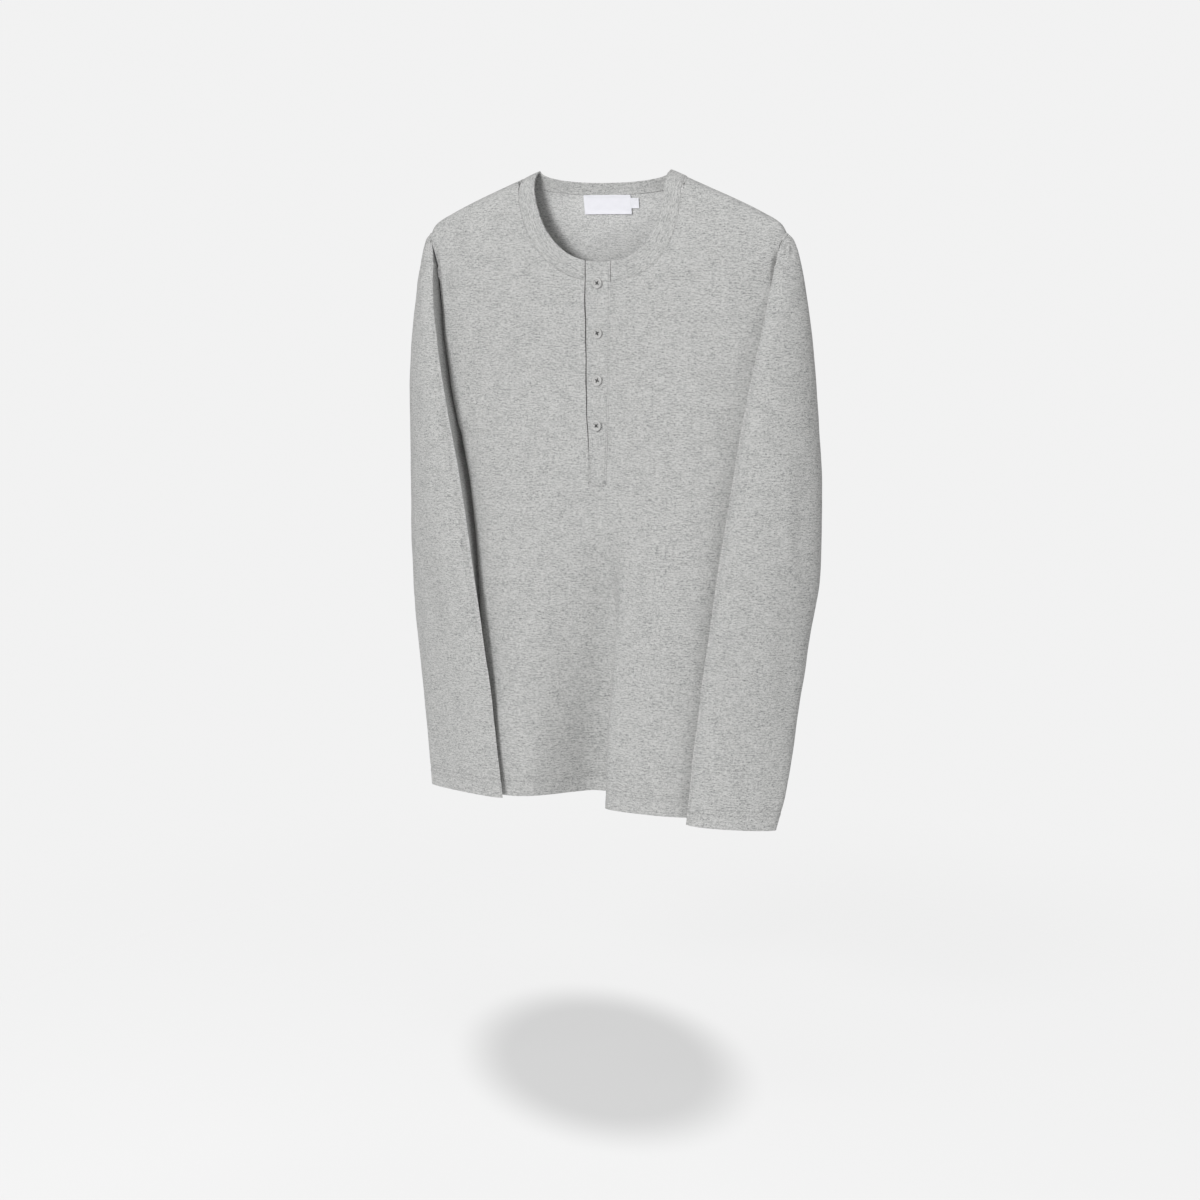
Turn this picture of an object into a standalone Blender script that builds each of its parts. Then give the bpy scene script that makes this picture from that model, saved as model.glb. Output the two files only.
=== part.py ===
"""Long-sleeved henley shirt in jersey, hanging filled out and hollow.

Metres in the scene, millimetres in this file.  +Z up, the front faces -Y and the wearer's
left is at +X.  The origin is the middle of the neck opening, level with its high points.
"""

import math

import bmesh
import bpy
from mathutils import Matrix, Vector

MM = 0.001

# ---------------------------------------------------------------- driving sizes
CLOTH = 1.5            # wall of the jersey pieces
RIB = 2.0              # wall of the neckband, two layers and its seam
FLAP = 1.6             # wall of the placket flap
LABEL_WALL = 1.0       # wall of the woven label and of the size tab
SEAM_GAP = 0.3         # air between neighbouring pieces

BODY_LENGTH = 686      # high point of the neck to the hem
SHOULDER_TIP_X = 215   # half the shoulder width
SHOULDER_TIP_Z = -66
UNDERARM_Z = -287

NECK_HALF_WIDTH = 79   # inner edge of the neckband at its high points
NECK_FRONT_DROP = 96
NECK_BACK_DROP = 13
BAND_WIDTH = 21        # the neckband, narrower at the middle of the back
BACK_BAND_WIDTH = 13
BAND_SEAM_HALF_WIDTH = 98.5   # the band's seam where it crosses the shoulder
NECK_SQUARENESS = 2.15        # 2 is an ellipse, more is squarer
NECK_SQUARENESS_LEFT = 2.6    # the front is pulled squarer on the wearer's left

SLOT_LEFT = -14.0      # the front is cut open between these, on the neckband's seam
SLOT_RIGHT = 17.0
PLACKET_BOTTOM = -336
# The placket's flap, narrowing downwards.
FLAP_COLUMNS = ("z", "left", "right")
FLAP_EDGES = (
    (-90, -13.4, 16.4),
    (-180, -13.2, 15.0),
    (-280, -9.8, 14.0),
    (-336, -7.0, 13.4),
)
BUTTON_X = 2.0
BUTTON_HEIGHTS = (-118.7, -172.0, -222.5, -271.0)
BUTTON_DIAMETER = 11.5
BUTTON_THICKNESS = 2.4
BUTTON_RIM = 1.9       # width of the raised rim, and how far the middle lies below it
BUTTON_DISH = 0.7
THREAD_HOLE_DIAMETER = 1.5
THREAD_HOLE_SPACING = 2.3

LABEL_WIDTH = 57       # woven label inside the back of the neck, and its size tab
LABEL_HEIGHT = 20.5
LABEL_TOP = -25.2
LABEL_MIDDLE_X = 0.5
TAB_WIDTH = 9.5
TAB_HEIGHT = 11
TAB_TOP = -28.5

# A section of the body at each height, read smoothly in between.
# half_width and side_y place the side seam, and above the underarm the middle of the
# armhole; squareness shapes the turn from the flat front or back into the side.
BODY_COLUMNS = ("z", "half_width", "side_y", "front_y", "back_y", "squareness")
BODY = (
    (10, 215, -8, -17, 1, 4.0),
    (-66, 215, -8, -20, 12, 4.0),
    (-80, 210, -5, -20.5, 15, 4.0),
    (-100, 207, 1, -20.5, 20, 4.0),
    (-135, 205, 8, -20, 30, 4.0),
    (-175, 202.5, 13, -20, 40, 4.0),
    (-216, 197, 15, -20, 48, 4.0),
    (-250, 190.5, 14, -21, 53, 4.0),
    (-287, 182.5, 11, -22.5, 57, 4.0),
    (-326, 173.5, 8, -24.5, 60, 4.0),
    (-370, 165.5, 7, -28, 62, 4.0),
    (-426, 158, 6, -33, 63, 4.0),
    (-500, 152.5, 5, -40, 63, 3.8),
    (-600, 149, 3, -49.5, 61, 3.5),
    (-700, 147, 2, -57.5, 58, 3.4),
)
ARMHOLE_HALF_OPENING = 15     # the armhole is this much wider than its middle line

# The shoulder seam, from the neck out.
SHOULDER_COLUMNS = ("x", "z", "y")
SHOULDER = (
    (0, 3, -2),
    (79, 0.3, -2),
    (95, -6, -2.5),
    (125, -18, -4),
    (157, -31, -5.5),
    (186, -44, -7),
    (208, -56, -8),
    (215, -66, -8),
)
FRONT_SHOULDER_TURN = 24      # height over which the cloth rounds the shoulder
BACK_SHOULDER_TURN = 42

# Soft upright folds: each fades in below its top and is deepest at the hem.  x_top and
# x_hem place its line, depth is how far it moves the cloth in, widths are on either side.
FOLD_COLUMNS = ("x_top", "x_hem", "z_top", "depth", "width_left", "width_right")
FRONT_FOLDS = (
    (-2, -17, -330, 64, 46, 29),
)
BACK_FOLDS = (
    (-58, -78, -190, 20, 26, 30),
    (18, 26, -250, 23, 34, 26),
    (84, 98, -150, 16, 22, 24),
)
FOLD_SHAPE = 2.2

# A section of each sleeve at each height: its inner edge, which leans to the front, its
# outer edge, and how far the cloth bulges in front of and behind the line between them.
SLEEVE_COLUMNS = ("z", "inner_x", "inner_y", "outer_x", "outer_y", "front", "back")
SLEEVE_HEAD = (
    (-66, 215.3, -8, 215.3, -8, 0, 0),
    (-73, 211.8, -13, 222, -7, 2, 3),
    (-96, 207, -18, 229, -4, 6, 9),
    (-130, 203, -26, 235, -1, 10, 14),
    (-172, 196.5, -31, 240, 2, 14, 22),
    (-250, 182, -35.5, 246.5, 6, 20, 38),
)
SLEEVE_LEFT = SLEEVE_HEAD + (
    (-321, 169, -35, 251, 7.5, 23, 46),
    (-405, 157, -39.5, 252.5, 7, 24, 44),
    (-491, 147, -45.5, 242.5, 1, 21, 34),
    (-577, 138, -50.5, 233, -6.5, 17, 22),
    (-653, 131, -55.5, 227, -20.5, 13, 12),
    (-690, 129, -58, 221.5, -33, 11, 9),
)
SLEEVE_RIGHT = SLEEVE_HEAD + (
    (-318, 168.5, -35, 249, 9, 23, 46),
    (-403, 152, -38, 251, 10, 24, 44),
    (-486, 135.5, -44, 245, 0, 18, 32),
    (-577, 117, -51, 225, -20, 12, 16),
    (-650, 105.5, -55.5, 211, -31.5, 8, 8),
    (-687, 98.5, -60, 202, -40, 6, 6),
)
BACK_FULLNESS = 0.75   # share of the bulge that the curve behind the arm takes
BACK_SEAM_LEAN = (0.35, 1.0, 0.0)     # the way it bulges where it meets the back seam
EDGE_PINCH = 0.3       # how sharply the inner edge is pressed
UNDERSEAM_ALONG = 0.35        # the sleeve's own seam, from the inner edge to the outer
UNDERSEAM_BEHIND = (0.6, 1.4)     # the least and the most it lies behind, as shares of the bulge
UNDERSEAM_CLEARANCE = 4       # in between, it lies this close beside the body
UNDERSEAM_EASE = 6            # how softly it leaves the line between the edges
UNDERSEAM_BLEND = 50          # height over which it leaves the underarm


# ---------------------------------------------------------------- reading the tables
def read(table, columns, name, at):
    """Value of a named column where the first column is at, on a smooth curve."""
    column = columns.index(name)
    rows = sorted(table)
    keys = [row[0] for row in rows]
    values = [row[column] for row in rows]
    if at <= keys[0]:
        return values[0]
    if at >= keys[-1]:
        return values[-1]
    i = max(k for k in range(len(keys) - 1) if keys[k] <= at)
    span = keys[i + 1] - keys[i]
    t = (at - keys[i]) / span

    def slope(k):
        if k == 0 or k == len(keys) - 1:
            near = (0, 1) if k == 0 else (-2, -1)
            return (values[near[1]] - values[near[0]]) / (keys[near[1]] - keys[near[0]])
        before = (values[k] - values[k - 1]) / (keys[k] - keys[k - 1])
        after = (values[k + 1] - values[k]) / (keys[k + 1] - keys[k])
        return 0 if before * after <= 0 else 2 * before * after / (before + after)

    return hermite(values[i], slope(i) * span, values[i + 1], slope(i + 1) * span, t)


def hermite(start, leaving, end, arriving, t):
    """Cubic from start to end with the given end tangents; numbers or vectors."""
    return (
        start * (1 + 2 * t) * (1 - t) ** 2
        + leaving * t * (1 - t) ** 2
        + end * t * t * (3 - 2 * t)
        + arriving * t * t * (t - 1)
    )


def body(name, z):
    return read(BODY, BODY_COLUMNS, name, z)


def shoulder(name, x):
    return read(SHOULDER, SHOULDER_COLUMNS, name, abs(x))


# ---------------------------------------------------------------- the body's surfaces
def fold_depth(folds, x, z):
    """How far the soft folds move the cloth towards the inside."""
    moved = 0.0
    for row in folds:
        fold = dict(zip(FOLD_COLUMNS, row))
        down = (fold["z_top"] - z) / (fold["z_top"] + BODY_LENGTH)
        if down <= 0:
            continue
        line = fold["x_top"] + (fold["x_hem"] - fold["x_top"]) * down
        width = fold["width_left"] if x < line else fold["width_right"]
        near = math.exp(-(abs(x - line) / width) ** FOLD_SHAPE)
        moved += fold["depth"] * near * down ** 1.35
    return moved


def armhole_spread(z):
    """Half the opening of the armhole at this height, nothing above or below it."""
    down = (SHOULDER_TIP_Z - z) / (SHOULDER_TIP_Z - UNDERARM_Z)
    if not 0 < down < 1:
        return 0.0
    return ARMHOLE_HALF_OPENING * math.sqrt(1 - (1 - 2 * down) ** 2)


def surface_y(side, x, z):
    """Y of the cloth's outer face: side is -1 for the front and +1 for the back."""
    name, folds, turn = (
        ("front_y", FRONT_FOLDS, FRONT_SHOULDER_TURN)
        if side < 0
        else ("back_y", BACK_FOLDS, BACK_SHOULDER_TURN)
    )
    square = body("squareness", z)
    across = min(abs(x) / body("half_width", z), 1.0)
    edge = body("side_y", z) + side * armhole_spread(z)
    flat = (1 - across ** square) ** (1 / square)
    y = edge + (body(name, z) - edge) * flat - side * fold_depth(folds, x, z) * flat
    below = min(max((shoulder("z", x) - z) / turn, 0.0), 1.0)
    rounded = math.sqrt(1 - (1 - below) ** 2)
    seam = shoulder("y", x)
    return seam + (y - seam) * rounded + side * SEAM_GAP / 2


def surface_inward(side, x, z):
    """Unit vector from the outer face to the inside of the cloth."""
    step = 0.02
    if shoulder("z", x) - z < 0.05:
        fall = (shoulder("z", abs(x) - step) - shoulder("z", x)) / step
        return Vector((math.copysign(fall, -x), 0, -1)).normalized()
    dx = -step if x > 0 else step
    slope_x = (surface_y(side, x + dx, z) - surface_y(side, x, z)) / dx
    slope_z = (surface_y(side, x, z) - surface_y(side, x, z - step)) / step
    way = Vector((slope_x, -1, slope_z)).normalized() * side
    if abs(x) > body("half_width", z) - 0.05:
        way.y = 0
        way.normalize()
    return way


def on_body(side, x, z, lift=0.0):
    """A point of the front or back, lifted off its outer face by lift."""
    point = Vector((x, surface_y(side, x, z), z))
    return point - surface_inward(side, x, z) * lift


def neck_edge(side, angle, band):
    """X and Z in the neckband: angle 0 at +X, 90 at the middle; band 0 its top, 1 its seam."""
    power = 2 / (NECK_SQUARENESS_LEFT if side < 0 and angle < 90 else NECK_SQUARENESS)
    turn = math.radians(angle)
    across = math.copysign(abs(math.cos(turn)) ** power, math.cos(turn))
    down = abs(math.sin(turn)) ** power
    drop = NECK_FRONT_DROP if side < 0 else NECK_BACK_DROP
    width = BAND_WIDTH if side < 0 else BACK_BAND_WIDTH
    high = shoulder("z", NECK_HALF_WIDTH)
    low = shoulder("z", BAND_SEAM_HALF_WIDTH)
    top = Vector((NECK_HALF_WIDTH * across, high - (drop + high) * down))
    seam = Vector((BAND_SEAM_HALF_WIDTH * across, low - (drop + width + low) * down))
    return top + (seam - top) * band


def neck_angle(side, x, band):
    """The angle at which the neckband's line band crosses x, by halving the interval."""
    low, high = 0.0, 180.0
    for _ in range(40):
        middle = (low + high) / 2
        if neck_edge(side, middle, band).x > x:
            low = middle
        else:
            high = middle
    return low


def top_height(side, x):
    """Top of a panel at x: just below the neckband's seam, or at the shoulder seam."""
    band = 1 + SEAM_GAP / BAND_WIDTH
    if abs(x) >= neck_edge(side, 0, band).x:
        return shoulder("z", x)
    return neck_edge(side, neck_angle(side, x, band), band).y


# ---------------------------------------------------------------- the sleeves' surfaces
def armhole(side, z):
    """Where the sleeve is sewn to the front (-1) or back (+1) at this height."""
    x = body("half_width", z)
    return Vector((x + SEAM_GAP, surface_y(side, x, z), z))


def underseam(inner, across, behind, bulge, z):
    """The sleeve's own seam below the armhole, beside the body where it can be."""
    least, most = UNDERSEAM_BEHIND
    start = inner + across * UNDERSEAM_ALONG + behind * bulge * least
    back = (start.x - body("half_width", z) - UNDERSEAM_CLEARANCE) / -behind.x
    back = min(back, bulge * (most - least))
    return start + behind * (back + math.hypot(back, UNDERSEAM_EASE)) / 2


def sleeve_point(table, around, z):
    """Point of a sleeve's outer face; around runs from its front seam at 0 past the inner
    edge at 1, the outer edge at 2 and on to its back seam at 3."""
    part = {name: read(table, SLEEVE_COLUMNS, name, z) for name in SLEEVE_COLUMNS[1:]}
    inner = Vector((part["inner_x"], part["inner_y"], z))
    outer = Vector((part["outer_x"], part["outer_y"], z))
    across = outer - inner
    behind = Vector((-across.y, across.x, 0)).normalized()
    side = -1 if around <= 1 else 1
    seam = armhole(side, max(z, UNDERARM_Z))
    if z < UNDERARM_Z:
        own = underseam(inner, across, behind, part["back"], z)
        left = min((UNDERARM_Z - z) / UNDERSEAM_BLEND, 1.0)
        seam = armhole(-1, UNDERARM_Z).lerp(own, left * left * (3 - 2 * left))
        seam.z = z
    if around <= 1:
        way = inner - seam
        aside = Vector((way.length, 0, 0))
        return hermite(seam, way + aside * 0.6, inner, way - aside * 0.3, around)
    if around <= 2:
        turn = (around - 1) * math.pi
        bulge = part["front"] * math.sin(turn) ** (1 + EDGE_PINCH * math.cos(turn / 2) ** 2)
        return inner + across * (1 - math.cos(turn)) / 2 - behind * bulge
    turn = (around - 2) * math.pi
    share = (1 - math.cos(turn)) / 2
    bulge = behind.lerp(Vector(BACK_SEAM_LEAN), share) * part["back"] * BACK_FULLNESS
    return outer.lerp(seam, share) + bulge * math.sin(turn)


def sleeve_inward(table, around, z):
    """Unit vector from a sleeve's outer face to its inside."""
    if z >= SHOULDER_TIP_Z:
        return Vector((0, 0, -1))
    step = 0.01
    before, after = max(around - step, 0), min(around + step, 3)
    if z < UNDERARM_Z:
        after = (around + step) % 3
        before = (around - step) % 3
    round_it = sleeve_point(table, after, z) - sleeve_point(table, before, z)
    along = sleeve_point(table, around, z - 0.1) - sleeve_point(table, around, z)
    inward = round_it.cross(along).normalized()
    if z >= UNDERARM_Z and around in (0, 3):
        inward.x = max(inward.x, 0)
        inward.normalize()
    return inward


# ---------------------------------------------------------------- making meshes
def clear_scene():
    for thing in list(bpy.data.objects):
        bpy.data.objects.remove(thing, do_unlink=True)


def material(name, colour, roughness):
    """A plain Principled finish; colour is linear RGB."""
    made = bpy.data.materials.new(name)
    made.use_nodes = True
    shader = made.node_tree.nodes["Principled BSDF"]
    shader.inputs["Base Color"].default_value = (*colour, 1)
    shader.inputs["Roughness"].default_value = roughness
    shader.inputs["Metallic"].default_value = 0
    made.diffuse_color = (*colour, 1)
    return made


def place_object(name, bm, finish):
    """Turns a bmesh in millimetres into a named object in metres."""
    bmesh.ops.scale(bm, vec=(MM, MM, MM), verts=bm.verts)
    bmesh.ops.recalc_face_normals(bm, faces=bm.faces)
    mesh = bpy.data.meshes.new(name)
    bm.to_mesh(mesh)
    bm.free()
    mesh.materials.append(finish)
    mesh.shade_smooth()
    mesh.set_sharp_from_angle(angle=math.radians(40))
    thing = bpy.data.objects.new(name, mesh)
    bpy.context.collection.objects.link(thing)
    return thing


def wall(name, finish, columns, rows, outer, inward, thickness, skip=None, closed=False):
    """A cloth wall from a grid: outer(i, j) is its face and inward(i, j) its way in.

    skip(i, j) leaves out the square whose lower corner is i, j, and closed joins the last
    column to the first.
    """
    bm = bmesh.new()
    bmesh.ops.create_grid(bm, x_segments=columns, y_segments=rows, size=1)
    spots = {}
    for vert in bm.verts:
        i = round((vert.co.x + 1) / 2 * columns)
        j = round((vert.co.y + 1) / 2 * rows)
        spots[vert] = (i, j)
    if skip:
        dropped = [
            face for face in bm.faces
            if skip(min(spots[v][0] for v in face.verts), min(spots[v][1] for v in face.verts))
        ]
        bmesh.ops.delete(bm, geom=dropped, context="FACES")
        spots = {vert: spots[vert] for vert in bm.verts}
    copy = bmesh.ops.duplicate(bm, geom=bm.verts[:] + bm.edges[:] + bm.faces[:])["vert_map"]
    inner_faces = [face for face in bm.faces if face.verts[0] not in spots]
    bmesh.ops.reverse_faces(bm, faces=inner_faces)
    row = {}
    for vert, (i, j) in spots.items():
        vert.co = outer(i, j)
        copy[vert].co = vert.co + inward(i, j) * thickness
        row[vert] = row[copy[vert]] = j
    if closed:
        bmesh.ops.remove_doubles(bm, verts=bm.verts, dist=1e-4)
    rim = [edge for edge in bm.edges if edge.is_boundary]
    lower = [edge for edge in rim if closed and all(row[v] == 0 for v in edge.verts)]
    upper = [edge for edge in rim if edge not in lower]
    for ends in filter(None, (lower, upper)):
        bmesh.ops.bridge_loops(bm, edges=ends)
    return place_object(name, bm, finish)


# ---------------------------------------------------------------- the pieces
SIDE_SHARES = (1, 0.986, 0.955, 0.89, 0.78, 0.63)     # a panel's columns outside the neck
FRONT_NECK_ANGLES = (0, 2, 6, 14, 26, 40, 56, 70)         # and below it, from the shoulder in
BACK_NECK_ANGLES = (0, 8, 20, 36, 54, 72)
HEAD_ROWS = 9          # rows beside the armhole, closer together near the shoulder
HEAD_CROWDING = 1.5
CHEST_ROWS = 2         # rows from the underarm to the bottom of the placket
SKIRT_ROWS = 9


def head_height(top, level):
    return top + (UNDERARM_Z - top) * (level / HEAD_ROWS) ** HEAD_CROWDING


def panel_lines(side, angles, middle):
    """A panel's columns as shares of its half width, middle being those at the centre."""
    band = 1 + SEAM_GAP / BAND_WIDTH

    def below_neck(turned):
        spots = [neck_edge(side, angle, band) for angle in turned]
        return [spot.x / body("half_width", spot.y) for spot in spots]

    right = [-share for share in SIDE_SHARES] + below_neck([180 - angle for angle in angles])
    left = list(SIDE_SHARES) + below_neck(angles)
    return right + middle + left[::-1]


def panel(name, finish, side, lines, slot=None):
    """A front or back: lines are its columns, slot the pair between which it is cut open."""
    rows = HEAD_ROWS + CHEST_ROWS + SKIRT_ROWS

    def spot(i, j):
        level = rows - j
        top = SHOULDER_TIP_Z
        for _ in range(6):
            top = top_height(side, lines[i] * body("half_width", top))
        if level <= HEAD_ROWS:
            z = head_height(top, level)
        elif level <= HEAD_ROWS + CHEST_ROWS:
            z = UNDERARM_Z + (PLACKET_BOTTOM - UNDERARM_Z) * (level - HEAD_ROWS) / CHEST_ROWS
        else:
            skirt = (level - HEAD_ROWS - CHEST_ROWS) / SKIRT_ROWS
            z = PLACKET_BOTTOM + (-BODY_LENGTH - PLACKET_BOTTOM) * skirt
        return lines[i] * body("half_width", z), z

    def outer(i, j):
        return on_body(side, *spot(i, j))

    def inward(i, j):
        return surface_inward(side, *spot(i, j))

    def skip(i, j):
        return slot is not None and slot[0] <= i < slot[1] and j >= SKIRT_ROWS

    wall(name, finish, len(lines) - 1, rows, outer, inward, CLOTH, skip)


def slot_shares():
    """The slot's two edges as shares of the half width; it narrows as the body does."""
    half = body("half_width", -NECK_FRONT_DROP - BAND_WIDTH)
    return SLOT_LEFT / half, SLOT_RIGHT / half


def make_front(finish):
    left, right = slot_shares()
    lines = panel_lines(-1, FRONT_NECK_ANGLES, [left, (left + right) / 2, right])
    first = lines.index(left)
    panel("front", finish, -1, lines, (first, first + 2))


def make_back(finish):
    panel("back", finish, 1, panel_lines(1, BACK_NECK_ANGLES, [0.0]))


def make_neckband(finish):
    """One strip from the placket round the back of the neck to the placket again."""
    front = [angle for angle in FRONT_NECK_ANGLES if angle > 0]
    stations = [(-1, angle) for angle in [90] + front[::-1]]
    stations += [(1, angle) for angle in BACK_NECK_ANGLES] + [(1, 90)]
    stations += [(1, 180 - angle) for angle in BACK_NECK_ANGLES[::-1]]
    stations += [(-1, 180 - angle) for angle in front + [90]]
    rows = 3

    def spot(i, j):
        side, angle = stations[i]
        if i in (0, len(stations) - 1):
            angle = neck_angle(-1, SLOT_LEFT if i else SLOT_RIGHT, j / rows)
        edge = neck_edge(side, angle, j / rows)
        return side, edge.x, edge.y

    def outer(i, j):
        side, x, z = spot(i, j)
        point = on_body(side, x, z)
        if stations[i][1] in (0, 180):
            point.y = shoulder("y", x)
        return point

    def inward(i, j):
        side, x, z = spot(i, j)
        if stations[i][1] in (0, 180):
            z = shoulder("z", x)
        return surface_inward(side, x, z)

    wall("neckband", finish, len(stations) - 1, rows, outer, inward, RIB)


def strip(name, finish, edges, top, bottom, lift, thickness, columns, rows):
    """A strip lying on the front: edges(z) are its sides and top(x) its upper end."""

    def spot(i, j):
        across, up = i / columns, j / rows
        left, right = edges(bottom)
        x = left + (right - left) * across
        z = bottom
        for _ in range(4):
            z = bottom + (top(x) - bottom) * up
            left, right = edges(z)
            x = left + (right - left) * across
        return x, z

    def outer(i, j):
        return on_body(-1, *spot(i, j), lift + thickness)

    def inward(i, j):
        return surface_inward(-1, *spot(i, j))

    wall(name, finish, columns, rows, outer, inward, thickness)


def neck_top(x):
    """Height of the neckband's top edge at x, in the front."""
    return neck_edge(-1, neck_angle(-1, x, 0), 0).y


def make_placket(finish):
    """The button stand fills the slot, and the flap lies over it."""
    left, right = slot_shares()

    def stand_edges(z):
        half = body("half_width", z)
        return left * half + SEAM_GAP, right * half - SEAM_GAP

    def flap_edges(z):
        return tuple(read(FLAP_EDGES, FLAP_COLUMNS, name, z) for name in ("left", "right"))

    bottom = PLACKET_BOTTOM + SEAM_GAP
    strip("placket_stand", finish, stand_edges, neck_top, bottom, -CLOTH, CLOTH, 2, 14)
    strip("placket_flap", finish, flap_edges, neck_top, bottom, SEAM_GAP, FLAP, 3, 14)


def make_buttons(finish):
    """Four-hole buttons with a raised rim, each lying on the flap."""
    radius = BUTTON_DIAMETER / 2
    soften = 0.5
    profile = (
        (0, 0),
        (radius - soften, 0),
        (radius, soften),
        (radius, BUTTON_THICKNESS - soften),
        (radius - soften, BUTTON_THICKNESS),
        (radius - BUTTON_RIM + BUTTON_DISH, BUTTON_THICKNESS),
        (radius - BUTTON_RIM, BUTTON_THICKNESS - BUTTON_DISH),
        (0, BUTTON_THICKNESS - BUTTON_DISH),
    )
    for number, z in enumerate(BUTTON_HEIGHTS, 1):
        bm = bmesh.new()
        verts = [bm.verts.new((r, -up, 0)) for r, up in profile]
        edges = [bm.edges.new(pair) for pair in zip(verts, verts[1:])]
        bmesh.ops.spin(
            bm, geom=verts + edges, axis=(0, 1, 0), cent=(0, 0, 0), angle=2 * math.pi,
            steps=20, use_merge=True,
        )
        bmesh.ops.remove_doubles(bm, verts=bm.verts, dist=1e-3)
        button = place_object(f"button_{number}", bm, finish)
        holes = bmesh.new()
        half = THREAD_HOLE_SPACING / 2
        for x in (-half, half):
            for up in (-half, half):
                drill = bmesh.ops.create_cone(
                    holes, cap_ends=True, segments=6, depth=4 * BUTTON_THICKNESS,
                    radius1=THREAD_HOLE_DIAMETER / 2, radius2=THREAD_HOLE_DIAMETER / 2,
                )
                turn = Matrix.Rotation(math.pi / 2, 3, "X")
                bmesh.ops.rotate(holes, verts=drill["verts"], cent=(0, 0, 0), matrix=turn)
                bmesh.ops.translate(holes, verts=drill["verts"], vec=(x, 0, up))
        cutter = place_object(f"button_{number}_holes", holes, finish)
        cutter.hide_render = True
        cutter.display_type = "WIRE"
        cutter.parent = button
        cut = button.modifiers.new("thread_holes", "BOOLEAN")
        cut.object = cutter
        inward = surface_inward(-1, BUTTON_X, z)
        seat = on_body(-1, BUTTON_X, z, FLAP + 2 * SEAM_GAP)
        button.location = seat * MM
        button.rotation_euler = inward.to_track_quat("Y", "Z").to_euler()


def inside_patch(name, finish, left, width, top, height, behind):
    """A small flat piece on the inside of the back; behind is the cloth it clears."""
    columns, rows = 6, 2

    def spot(i, j):
        return left + width * i / columns, top - height * (1 - j / rows)

    def outer(i, j):
        return on_body(1, *spot(i, j), -behind - SEAM_GAP)

    def inward(i, j):
        return surface_inward(1, *spot(i, j))

    wall(name, finish, columns, rows, outer, inward, LABEL_WALL)


def make_labels(finish):
    left = LABEL_MIDDLE_X - LABEL_WIDTH / 2
    right = left + LABEL_WIDTH + SEAM_GAP
    inside_patch("label", finish, left, LABEL_WIDTH, LABEL_TOP, LABEL_HEIGHT, RIB)
    inside_patch("size_tab", finish, right, TAB_WIDTH, TAB_TOP, TAB_HEIGHT, RIB)


def make_sleeve(name, finish, table, mirror):
    """mirror is 1 for the wearer's left and -1 for the right."""
    shelf, front, back = 3, 8, 8
    arm_rows = 10
    columns, rows = shelf + front + back, HEAD_ROWS + arm_rows
    cuff = table[-1][0]

    def spot(i, j):
        level = rows - j
        if level <= HEAD_ROWS:
            z = head_height(SHOULDER_TIP_Z, level)
        else:
            z = UNDERARM_Z + (cuff - UNDERARM_Z) * (level - HEAD_ROWS) / arm_rows
        if i <= shelf:
            return i / shelf, z
        if i <= shelf + front:
            return 1 + (i - shelf) / front, z
        return 2 + (i - shelf - front) / back, z

    def outer(i, j):
        point = sleeve_point(table, *spot(i, j))
        return Vector((point.x * mirror, point.y, point.z))

    def inward(i, j):
        way = sleeve_inward(table, *spot(i, j))
        return Vector((way.x * mirror, way.y, way.z))

    wall(name, finish, columns, rows, outer, inward, CLOTH, closed=True)


clear_scene()
jersey = material("grey_marl_jersey", (0.49, 0.49, 0.48), 0.9)
button_plastic = material("grey_button_plastic", (0.36, 0.36, 0.35), 0.4)
label_cloth = material("white_label_cloth", (0.86, 0.86, 0.9), 0.8)

make_front(jersey)
make_back(jersey)
make_sleeve("sleeve_left", jersey, SLEEVE_LEFT, 1)
make_sleeve("sleeve_right", jersey, SLEEVE_RIGHT, -1)
make_neckband(jersey)
make_placket(jersey)
make_buttons(button_plastic)
make_labels(label_cloth)
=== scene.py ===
# Long-sleeved henley in grey marl jersey, hanging filled out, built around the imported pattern.
# Sizes are in millimetres unless a name says otherwise. Front is -Y, up is +Z, wearer's left is +X.
import math
from functools import lru_cache
from itertools import accumulate

import bmesh
import bpy
from mathutils import Matrix, Vector, noise
from mathutils.bvhtree import BVHTree


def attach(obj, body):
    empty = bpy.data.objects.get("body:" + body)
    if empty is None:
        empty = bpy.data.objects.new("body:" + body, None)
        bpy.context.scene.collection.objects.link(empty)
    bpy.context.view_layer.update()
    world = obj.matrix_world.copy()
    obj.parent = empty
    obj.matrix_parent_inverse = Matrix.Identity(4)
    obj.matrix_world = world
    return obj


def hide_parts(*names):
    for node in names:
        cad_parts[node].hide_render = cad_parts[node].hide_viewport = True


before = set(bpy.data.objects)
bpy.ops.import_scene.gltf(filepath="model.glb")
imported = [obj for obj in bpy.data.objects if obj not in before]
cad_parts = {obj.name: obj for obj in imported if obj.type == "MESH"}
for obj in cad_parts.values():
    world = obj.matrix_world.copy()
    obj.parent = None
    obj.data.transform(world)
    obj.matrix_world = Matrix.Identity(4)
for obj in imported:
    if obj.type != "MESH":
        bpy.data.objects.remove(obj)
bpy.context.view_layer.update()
mm = 0.001
scene = bpy.context.scene
print("frame loaded:", len(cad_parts), "pieces")


def addThing(name, data):
    thing = bpy.data.objects.new(name, data)
    scene.collection.objects.link(thing)
    return thing


def between(start, end, share):
    return start + (end - start) * share


def bell(distance):
    return math.exp(-distance ** 2)


# camera and stage
camera = {
    "place": (1.145, -2.166, -0.068),   # metres
    "tilt": 9.2,                        # degrees down
    "turn": 28,                         # degrees to the wearer's left of straight on
    "sensor": 36, "lens": 67.62,
}


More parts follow.
